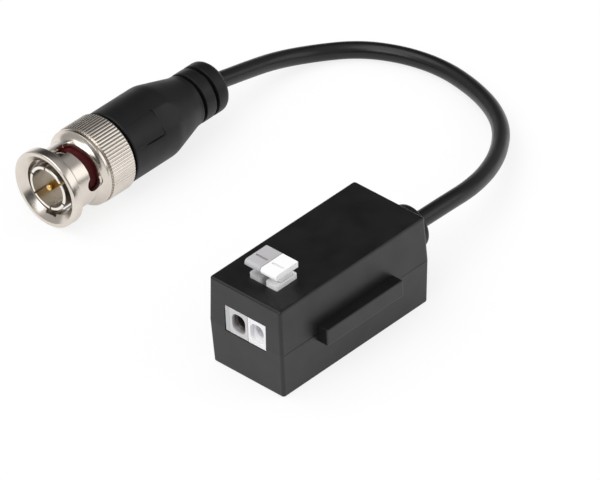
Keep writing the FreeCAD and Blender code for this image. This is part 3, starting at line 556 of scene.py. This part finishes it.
couplingNut = {
    "outline": (    # along, radius, rounding
        (0.0, 6.25, 0.12), (0.0, 6.95, 0.30), (1.95, 6.95, 0.28), (1.95, 5.65, 0.22),
        (6.5, 5.65, 0.0), (6.95, 5.72, 0.0), (7.35, 5.88, 0.0), (7.72, 6.15, 0.0),
        (7.98, 6.47, 0.0), (8.15, 6.87, 0.07), (8.70, 6.87, 0.09), (8.88, 6.68, 0.06),
        (9.12, 6.68, 0.03), (9.25, 6.83, 0.05), (14.08, 6.83, 0.0), (14.5, 6.58, 0.1),
        (14.5, 5.90, 0.1), (11.65, 5.90, 0.0), (11.65, 4.12, 0.0), (10.45, 4.12, 0.0),
        (10.45, 4.95, 0.0), (1.1, 4.95, 0.12),
    ),
    "sides": 180,
    "sharpFrom": 38,
    "camWidth": 1.95,
    "camTrack": ((92.0, 5.85), (82.0, 5.85), (72.0, 6.0), (60.0, 6.2), (46.0, 6.38),
                 (32.0, 6.45), (20.0, 6.35), (7.0, 5.95)),
    "camSteps": 3,          # between two places of the track
    "detentRadius": 1.35,
    "endSides": 32,
    "wallInside": 4.25,
    "wallOutside": 7.6,
    "flareFrom": 5.53,      # where the cut starts to widen, for its softened edge
    "flare": 0.22,
    "rearFlare": 0.6,       # the rear side's share of it, and where it starts and ends
    "rearFlareStart": 0.28,
    "rearFlareEnd": 0.5,
    "keyWidth": 2.3,
    "keyRadius": 5.3,
    "keyTurn": 92.0,
    "keyStart": -1.0,
    "keyWindowStart": 3.2,
}


def camCutters(c, turned):
    half = c["camWidth"] / 2
    inner, outer = c["wallInside"], c["wallOutside"]
    flare, flareFrom = c["flare"], c["flareFrom"]
    rear = half + flare * c["rearFlare"]
    border = ((inner, -half), (flareFrom, -half), (flareFrom + flare, -half - flare),
              (outer, -half - flare), (outer, rear), (flareFrom + c["rearFlareEnd"], rear),
              (flareFrom + c["rearFlareStart"], half), (inner, half))
    track = []
    for (turnA, alongA), (turnB, alongB) in zip(c["camTrack"], c["camTrack"][1:]):
        for step in range(c["camSteps"]):
            t = step / c["camSteps"]
            track.append((turnA + (turnB - turnA) * t, alongA + (alongB - alongA) * t))
    track.append(c["camTrack"][-1])
    cutters = [stackedMesh("camTrack", [
        [aroundPlug(turn + turned, reach, along + way) for reach, way in border]
        for turn, along in track])]
    for (turn, along), radius in ((track[0], half), (track[-1], c["detentRadius"])):
        cutters.append(stackedMesh("camEnd", [
            [aroundPlug(turn + turned, reach, along + (radius + grow) * math.cos(a),
                        (radius + grow) * math.sin(a)) for a in evenTurns(c["endSides"])]
            for reach, grow in ((inner, 0), (flareFrom, 0), (flareFrom + flare, flare),
                                (outer, flare))]))
    keyEnd = track[0][1]
    for reach, start in ((outer, c["keyWindowStart"]), (c["keyRadius"], c["keyStart"])):
        cutters.append(slotCutter("keyway", c["keyTurn"] + turned, (inner, reach),
                                  c["keyWidth"] / 2, (start, keyEnd)))
    return cutters


def makeCouplingNut(c):
    mesh = cutTurning("couplingNut", c, camCutters(c, 0) + camCutters(c, 180))
    return placePiece("couplingNut", mesh, "nickel_plate", "coupling_nut", "coupling_nut")


cordPieces = [makeCouplingNut(couplingNut)]
print("coupling nut made")


knurl = {
    "teeth": 72,
    "ringRadius": 6.5,
    "ribRadius": 0.5,
    "start": 9.15,
    "end": 14.08,
    "endShare": 0.45,       # the rib's thickness at its two ends
    "ribSides": 24,
    "ribRings": 4,
    "easing": ((0.3333, 0.05), (0.6667, 0.95)),     # brings the inner rings close to the ends
}


def knurlTree(k):
    tree = bpy.data.node_groups.new("straightKnurl", "GeometryNodeTree")
    sizes = {}
    for title, kind, value in (
            ("teeth", "NodeSocketInt", k["teeth"]),
            ("ringRadius", "NodeSocketFloat", k["ringRadius"] * mm),
            ("ribRadius", "NodeSocketFloat", k["ribRadius"] * mm),
            ("start", "NodeSocketFloat", k["start"] * mm),
            ("end", "NodeSocketFloat", k["end"] * mm),
            ("endShare", "NodeSocketFloat", k["endShare"]),
            ("place", "NodeSocketVector", [value * mm for value in plugPlace["centre"]]),
            ("metal", "NodeSocketMaterial", finishes["nickel_plate"])):
        socket = tree.interface.new_socket(title, in_out="INPUT", socket_type=kind)
        sizes[title] = (socket.identifier, value)
    tree.interface.new_socket("ribs", in_out="OUTPUT", socket_type="NodeSocketGeometry")
    given = tree.nodes.new("NodeGroupInput")
    result = tree.nodes.new("NodeGroupOutput")

    def node(kind, **links):
        made = tree.nodes.new(kind)
        for title, source in links.items():
            tree.links.new(source, made.inputs[title.replace("_", " ")])
        return made

    circle = node("GeometryNodeMeshCircle", Vertices=given.outputs["teeth"],
                  Radius=given.outputs["ringRadius"])
    upright = node("GeometryNodeTransform", Geometry=circle.outputs["Mesh"])
    upright.inputs["Rotation"].default_value = (math.pi / 2, 0, 0)
    first = node("ShaderNodeCombineXYZ", Y=given.outputs["start"])
    last = node("ShaderNodeCombineXYZ", Y=given.outputs["end"])
    line = node("GeometryNodeCurvePrimitiveLine", Start=first.outputs["Vector"],
                End=last.outputs["Vector"])
    path = node("GeometryNodeResampleCurve", Curve=line.outputs["Curve"])
    path.inputs["Count"].default_value = k["ribRings"]
    factor = node("GeometryNodeSplineParameter")
    easing = node("ShaderNodeFloatCurve", Value=factor.outputs["Factor"])
    shape = easing.mapping.curves[0]
    shape.points[0].location = (0, 0)
    shape.points[1].location = (1, 1)
    for place in k["easing"]:
        shape.points.new(*place)
    for point in shape.points:
        point.handle_type = "VECTOR"
    easing.mapping.update()
    along = node("ShaderNodeMapRange", Value=easing.outputs["Value"],
                 To_Min=given.outputs["start"], To_Max=given.outputs["end"])
    easedPlace = node("ShaderNodeCombineXYZ", Y=along.outputs["Result"])
    moved = node("GeometryNodeSetPosition", Geometry=path.outputs["Curve"],
                 Position=easedPlace.outputs["Vector"])
    ends = node("GeometryNodeCurveEndpointSelection")
    tapered = node("GeometryNodeSetCurveRadius", Curve=moved.outputs["Geometry"],
                   Selection=ends.outputs["Selection"], Radius=given.outputs["endShare"])
    profile = node("GeometryNodeCurvePrimitiveCircle", Radius=given.outputs["ribRadius"])
    profile.inputs["Resolution"].default_value = k["ribSides"]
    rib = node("GeometryNodeCurveToMesh", Curve=tapered.outputs["Curve"],
               Profile_Curve=profile.outputs["Curve"])
    rib.inputs["Fill Caps"].default_value = True
    spot = node("GeometryNodeInputPosition")
    facing = node("FunctionNodeAlignRotationToVector", Vector=spot.outputs["Position"])
    facing.axis = "Z"
    facing.pivot_axis = "Y"
    ribs = node("GeometryNodeInstanceOnPoints", Points=upright.outputs["Geometry"],
                Instance=rib.outputs["Mesh"], Rotation=facing.outputs["Rotation"])
    placed = node("GeometryNodeTransform", Geometry=ribs.outputs["Instances"],
                  Translation=given.outputs["place"])
    real = node("GeometryNodeRealizeInstances", Geometry=placed.outputs["Geometry"])
    smooth = node("GeometryNodeSetShadeSmooth", Geometry=real.outputs["Geometry"])
    coated = node("GeometryNodeSetMaterial", Geometry=smooth.outputs["Geometry"],
                  Material=given.outputs["metal"])
    tree.links.new(coated.outputs["Geometry"], result.inputs["ribs"])
    return tree, sizes


def makeKnurl(k):
    maker = newObject("knurlMaker", bpy.data.meshes.new("knurlMaker"))
    tree, sizes = knurlTree(k)
    modifier = maker.modifiers.new("knurl", "NODES")
    modifier.node_group = tree
    for identifier, value in sizes.values():
        modifier[identifier] = value
    bakeModifiers(maker)
    mesh = maker.data
    mesh.name = "knurlRibs"
    bpy.data.objects.remove(maker)
    return placePiece("knurlRibs", mesh, "nickel_plate", "coupling_nut", "coupling_nut")


cordPieces.append(makeKnurl(knurl))
print("knurl made")


plugBody = {
    "outline": (
        (0.6, 3.5, 0.08), (0.6, 4.05, 0.16), (5.4, 4.05, 0.0), (5.4, 4.25, 0.05),
        (8.5, 4.25, 0.0), (8.5, 4.8, 0.08), (9.7, 4.8, 0.08), (9.7, 4.05, 0.0),
        (16.0, 4.05, 0.1), (16.0, 3.4, 0.0), (20.5, 3.4, 0.1), (20.5, 2.4, 0.1),
        (15.5, 2.4, 0.0), (15.5, 3.22, 0.0), (6.5, 3.22, 0.0), (6.5, 3.5, 0.0),
    ),
    "sides": 144,
    "sharpFrom": 38,
    "slots": 6,
    "slotWidth": 0.35,
    "slotReach": (3.0, 4.6),
    "slotEnds": (-0.5, 5.2),
    "slotTurn": 36.0,
}


def makePlugBody(c):
    cutters = [slotCutter("sleeveSlot", c["slotTurn"] + index * 360 / c["slots"],
                          c["slotReach"], c["slotWidth"] / 2, c["slotEnds"])
               for index in range(c["slots"])]
    mesh = cutTurning("plugBody", c, cutters)
    piece = placePiece("plugBody", mesh, "nickel_plate", "balun", "plug_body")
    # the sleeve takes the paler nickel, painted light inside the mouth
    mesh.materials[0] = paintedLightSleeve
    return piece


cordPieces.append(makePlugBody(plugBody))


# turned parts that need no cuts: section, finish, and the node each stands for
turnedParts = {
    "plugGasket": (((5.6, 4.29, 0.0), (5.6, 4.75, 0.2), (8.5, 4.75, 0.2), (8.5, 4.29, 0.0)),
                   "gasket_rubber", "plug_gasket"),
    "plugInsulator": (((6.5, 0.97, 0.05), (6.5, 3.2, 0.1), (15.5, 3.2, 0.1), (15.5, 0.97, 0.05)),
                      "dielectric", "plug_insulator"),
    "centrePin": (((0.8, 0.0, 0.0), (0.8, 0.52, 0.22), (1.5, 0.675, 0.2), (6.5, 0.675, 0.0),
                   (6.5, 0.95, 0.05), (17.0, 0.95, 0.1), (17.0, 0.0, 0.0)),
                  "gold_plate", "centre_pin"),
}
smallTurning = {"sides": 96, "roundingSteps": 5, "sharpFrom": 40}
for name, (corners, finish, node) in turnedParts.items():
    section = roundedSection(corners, smallTurning["roundingSteps"])
    mesh = spunMesh(name, section, plugPlace["centre"], evenTurns(smallTurning["sides"]))
    part = placePiece(name, mesh, finish, "balun", node)
    finishEdges(part, smallTurning["sharpFrom"])
    cordPieces.append(part)
print("plug parts turned:", 1 + len(turnedParts))


# boot

boot = {
    "front": 15.0,
    "radius": 6.63,
    "shoulder": 25.4,
    "coneEnd": 32.3,
    "coneShares": (0.25, 0.5, 0.75),
    "reliefRadius": 4.66,
    "grooves": (33.3, 36.2),
    "grooveWidth": 0.7,
    "grooveDepth": 0.9,
    "domeStart": 38.2,
    "domeDegrees": (12, 24, 36, 48, 60, 72, 82),
    "end": 39.85,
    "tipRadius": 1.9,
    "bore": 4.14,
    "boreEnd": 22.54,
    "cableBore": 1.53,
    "roundings": {"front": 0.25, "shoulder": 0.75, "coneEnd": 0.5, "lip": 0.13,
                  "grooveFloor": 0.12, "mouth": 0.08},
    "roundingSteps": 4,
    "ringMargin": 0.5,      # rings along the pads, and closer ones about their rear end
    "ringStep": 0.55,
    "rearRings": (-0.35, -0.08, -0.02, 0.03, 0.08, 0.16, 0.24, 0.4, 0.8, 1.4, 2.1, 2.8),
    "turnStep": 3,          # degrees, and closer turns about the pads' sides
    "sideTurns": (-0.5, -0.22, 0.0, 0.3, 0.6, 0.9, 1.4, 2.2, 3.0),
    "leastTurn": 0.2,
    "shapedWall": 1.2,      # only the wall's outside is shaped, this deep
    "padTurns": (39.2, 219.2),
    "padHalfSpan": 18.3,
    "padRear": 21.7,
    "padRise": 0.3,
    "padLow": -0.05,
    "besidePad": 1.0,       # how far past its sides a pad and its mark can reach
    "flatEnd": 29.0,
    "step": 0.05,           # how quickly a pad's edge falls away
    "markWidth": 0.32,      # groove that sets off each pad, behind it and along its lower side
    "markDepth": 0.38,
    "markEdges": (0.06, 0.1),       # where it is deepest and where it starts to rise again
    "markFade": (0.15, 0.7),        # shares of the pad's length in which its lower side fades in
    "sharpFrom": 50,
}


def bootSection(b):
    roundings = b["roundings"]
    radius, relief = b["radius"], b["reliefRadius"]
    corners = [(b["boreEnd"], b["bore"], 0.0), (b["front"], b["bore"], 0.0),
               (b["front"], radius, roundings["front"])]
    along = b["front"] + b["ringMargin"]
    while along < b["padRear"] - b["ringMargin"]:
        corners.append((along, radius, 0.0))
        along += b["ringStep"]
    for gap in b["rearRings"]:
        corners.append((b["padRear"] + gap, radius, 0.0))
    corners.append((b["shoulder"], radius, roundings["shoulder"]))
    for share in b["coneShares"]:
        corners.append((b["shoulder"] + (b["coneEnd"] - b["shoulder"]) * share,
                        radius + (relief - radius) * share, 0.0))
    corners.append((b["coneEnd"], relief, roundings["coneEnd"]))
    deep = relief - b["grooveDepth"]
    for place in b["grooves"]:
        near, far = place - b["grooveWidth"] / 2, place + b["grooveWidth"] / 2
        corners += [(near, relief, roundings["lip"]), (near, deep, roundings["grooveFloor"]),
                    (far, deep, roundings["grooveFloor"]), (far, relief, roundings["lip"])]
    corners.append((b["domeStart"], relief, 0.0))
    for degrees in b["domeDegrees"]:
        a = math.radians(degrees)
        corners.append((b["domeStart"] + (b["end"] - b["domeStart"]) * math.sin(a),
                        b["tipRadius"] + (relief - b["tipRadius"]) * math.cos(a), 0.0))
    corners += [(b["end"], b["tipRadius"], 0.0), (b["end"], b["cableBore"], roundings["mouth"]),
                (b["boreEnd"], b["cableBore"], 0.0)]
    return roundedSection(corners, b["roundingSteps"])


def ease(value, low, high):
    t = min(1.0, max(0.0, (value - low) / (high - low)))
    return t * t * (3 - 2 * t)


# the mark's depth at a distance past the pad's edge, as a share
def markShare(b, past):
    deepest, rising = b["markEdges"]
    return ease(past, 0, deepest) * (1 - ease(past, rising, rising + b["markWidth"]))


def bootShaper(along, reach, turn):
    b = boot
    if reach < b["radius"] - b["shapedWall"] or along > b["flatEnd"]:
        return reach
    degrees = math.degrees(turn)
    flatDistance = b["radius"] * math.cos(math.radians(b["padHalfSpan"]))
    onPad = 1 - ease(along, b["padRear"] - b["step"] / 2, b["padRear"] + b["step"] / 2)
    pastRear = along - b["padRear"]
    share = min(1.0, max(0.0, (along - b["front"]) / (b["padRear"] - b["front"])))
    rise = max(0.0, b["padLow"] + (b["padRise"] - b["padLow"]) * share)
    for middle in b["padTurns"]:
        turned = (degrees - middle + 180) % 360 - 180
        pastSide = math.radians(abs(turned) - b["padHalfSpan"]) * b["radius"]
        if pastSide > b["besidePad"]:
            continue
        across = 1 - ease(pastSide, -b["step"] / 2, b["step"] / 2)
        flat = reach
        if pastSide < 0:
            flat = min(reach, flatDistance / math.cos(math.radians(abs(turned))))
        reach = reach + (flat - reach) * (1 - onPad) + onPad * across * rise
        # the mark runs behind the pad and along its lower side, and fades towards the front
        rearMark = markShare(b, pastRear) if pastSide < b["markWidth"] else 0.0
        sideMark = 0.0
        if pastRear < b["markWidth"] and turned < 0:
            sideMark = markShare(b, pastSide) * ease(share, *b["markFade"])
        reach -= b["markDepth"] * max(rearMark, sideMark)
    return reach


def bootTurns(b):
    degrees = set(range(0, 360, b["turnStep"]))
    for middle in b["padTurns"]:
        for side in (-1, 1):
            border = middle + side * b["padHalfSpan"]
            for gap in b["sideTurns"]:
                degrees.add(border + side * gap)
    turns = sorted(value % 360 for value in degrees)
    kept = [turns[0]]
    for value in turns[1:]:
        if value - kept[-1] > b["leastTurn"]:
            kept.append(value)
    return [math.radians(value) for value in kept]


bootMesh = spunMesh("plugBoot", bootSection(boot), plugPlace["centre"], bootTurns(boot),
                    bootShaper)
plugBoot = placePiece("plugBoot", bootMesh, "boot_rubber", "balun", "plug_boot")
finishEdges(plugBoot, boot["sharpFrom"])
print("boot made")


grommet = {
    "centre": (0.0, 17.2, 8.75),        # in the rear wall's outer face
    "outline": (
        (-2.5, 1.53, 0.0), (-2.5, 3.9, 0.1), (-1.4, 3.9, 0.0), (-1.4, 3.0, 0.0),
        (0.0, 3.0, 0.0), (0.0, 4.0, 0.12), (4.8, 4.0, 0.75), (4.8, 1.53, 0.08),
    ),
    "sharpFrom": 45,
}
grommetMesh = spunMesh("cableGrommet",
                       roundedSection(grommet["outline"], smallTurning["roundingSteps"]),
                       grommet["centre"], evenTurns(smallTurning["sides"]))
cableGrommet = placePiece("cableGrommet", grommetMesh, "boot_rubber", "balun", "cable_grommet")
finishEdges(cableGrommet, grommet["sharpFrom"])
cordPieces += [plugBoot, cableGrommet]


# moulded parts: the solid's shape with softened edges
mouldedParts = {        # node, body, width of the rounding, angle from which an edge is sharp
    "upperShell": ("upper_shell", "balun", 0.0, 30),
    "lowerShell": ("lower_shell", "balun", 0.0, 30),
    "greyTerminalBody": ("grey_terminal_body", "balun", 0.1, 35),
    "whiteTerminalBody": ("white_terminal_body", "balun", 0.1, 35),
    "terminalEndPlate": ("terminal_end_plate", "balun", 0.08, 35),
    "greyLever": ("grey_lever", "grey_lever", 0.14, 35),
    "whiteLever": ("white_lever", "white_lever", 0.14, 35),
}
for name, (node, body, width, sharpFrom) in mouldedParts.items():
    part = placePiece(name, joinedCopy(node, name), slotOfNode[node], body, node)
    finishEdges(part, sharpFrom, width)
    if node in terminalFinishes:
        part.data.materials[0] = terminalFinishes[node]
print("moulded parts made:", len(mouldedParts))


# clamp springs: each is listed with the joint of the lever that presses it down
clampSprings = {
    "pieces": {
        "greyClampSpring": ("grey_clamp_spring", "grey_lever_push"),
        "whiteClampSpring": ("white_clamp_spring", "white_lever_push"),
    },
    "foot": 8.9,
    "height": 4.79,
    "travel": 1.2,
    "sharpFrom": 35,
}
for name, (node, joint) in clampSprings["pieces"].items():
    part = placePiece(name, joinedCopy(node, name), slotOfNode[node], "balun", node)
    finishEdges(part, clampSprings["sharpFrom"])
    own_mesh(part)
print("clamp springs made:", len(clampSprings["pieces"]))


# stage: floor, background and lamps

floorLook = {
    "size": 3.0,
    "tone": 0.86,
    "roughness": 0.7,
    "specular": 0.1,
    "whiteShare": 0.80,     # share of plain white in what the camera sees
    "mirroredShare": 0.45,      # and in what the object mirrors, where the white is this strong
    "mirrored": 1.15,
}


def makeFloor(f):
    mesh = bpy.data.meshes.new("studioFloor")
    size = f["size"]
    mesh.from_pydata([(-size, -size, 0), (size, -size, 0), (size, size, 0), (-size, size, 0)],
                     [], [(0, 1, 2, 3)])
    floor = newObject("studioFloor", mesh)
    material, tree, shader = newMaterial("paleFloor")
    shader.inputs["Base Color"].default_value = (f["tone"], f["tone"], f["tone"], 1)
    shader.inputs["Roughness"].default_value = f["roughness"]
    shader.inputs["Specular IOR Level"].default_value = f["specular"]
    mesh.materials.append(material)
    rays = tree.nodes.new("ShaderNodeLightPath").outputs
    glow = tree.nodes.new("ShaderNodeEmission")
    tree.links.new(spread(tree, rays["Is Glossy Ray"], 1.0, f["mirrored"], (0, 1)),
                   glow.inputs["Strength"])
    direct = combined(tree, "MAXIMUM", rays["Is Camera Ray"], rays["Is Transmission Ray"])
    seen = combined(tree, "MAXIMUM", spread(tree, direct, 0, f["whiteShare"], (0, 1)),
                    spread(tree, rays["Is Glossy Ray"], 0, f["mirroredShare"], (0, 1)))
    mix = tree.nodes.new("ShaderNodeMixShader")
    tree.links.new(seen, mix.inputs["Fac"])
    tree.links.new(shader.outputs["BSDF"], mix.inputs[1])
    tree.links.new(glow.outputs["Emission"], mix.inputs[2])
    tree.links.new(mix.outputs["Shader"], tree.nodes["Material Output"].inputs["Surface"])


lamps = {       # place, aim, size and power
    "keySoftbox": ((-0.17, -0.28, 0.92), (-0.02, 0.02, 0), (1.1, 0.7), 4.4),
    "sideSoftbox": ((0.62, 0.53, 0.42), (-0.03, 0.02, 0), (0.8, 0.55), 1.5),
    "frontSoftbox": ((0.05, -0.82, 0.69), (0, 0, 0.01), (0.6, 0.4), 2.4),
}


def makeLamp(name, place, aim, size, power):
    data = bpy.data.lights.new(name, "AREA")
    data.shape = "RECTANGLE"
    data.size, data.size_y = size
    data.energy = power
    lamp = newObject(name, data)
    lamp.location = place
    lamp.rotation_mode = "QUATERNION"
    lamp.rotation_quaternion = (Vector(aim) - Vector(place)).to_track_quat("-Z", "Y")


skyLook = {
    "diffuse": 0.72,
    "mirrored": 0.46,
    "seen": 1.0,
    # direction, share of the brightness left, cosines where the dark starts and is full
    "darkParts": (
        ((-0.56, 0.57, 0.60), 0.08, 0.84, 0.965),       # what the roof mirrors
        ((0.02, 0.90, 0.42), 0.55, 0.82, 0.95),         # behind the plug's boot
        ((0.30, -0.92, 0.24), 0.08, 0.88, 0.96),        # low in front of the plug
    ),
}


def makeWorld(s):
    world = bpy.data.worlds.new("studio")
    bpy.context.scene.world = world
    world.use_nodes = True
    tree = world.node_tree
    background = tree.nodes["Background"]
    background.inputs["Color"].default_value = (1, 1, 1, 1)
    coordinate = tree.nodes.new("ShaderNodeTexCoord")
    levels = []
    for towards, left, start, full in s["darkParts"]:
        facing = tree.nodes.new("ShaderNodeVectorMath")
        facing.operation = "DOT_PRODUCT"
        facing.inputs[1].default_value = towards
        tree.links.new(coordinate.outputs["Generated"], facing.inputs[0])
        level = 1.0 if levels else s["mirrored"]        # only the first carries the brightness
        levels.append(spread(tree, facing.outputs["Value"], level, level * left, (start, full)))
    mirrored = levels[0]
    for level in levels[1:]:
        mirrored = combined(tree, "MULTIPLY", mirrored, level)
    rays = tree.nodes.new("ShaderNodeLightPath").outputs
    strength = s["diffuse"]
    for ray, value in (("Is Glossy Ray", mirrored), ("Is Transmission Ray", s["seen"]),
                       ("Is Camera Ray", s["seen"])):
        choose = tree.nodes.new("ShaderNodeMix")
        tree.links.new(rays[ray], choose.inputs["Factor"])
        for side, source in (("A", strength), ("B", value)):
            if isinstance(source, float):
                choose.inputs[side].default_value = source
            else:
                tree.links.new(source, choose.inputs[side])
        strength = choose.outputs["Result"]
    tree.links.new(strength, background.inputs["Strength"])


makeFloor(floorLook)
makeWorld(skyLook)
for name, (place, aim, size, power) in lamps.items():
    makeLamp(name, place, aim, size, power)
bpy.context.scene.view_settings.view_transform = "Standard"
print("stage set")
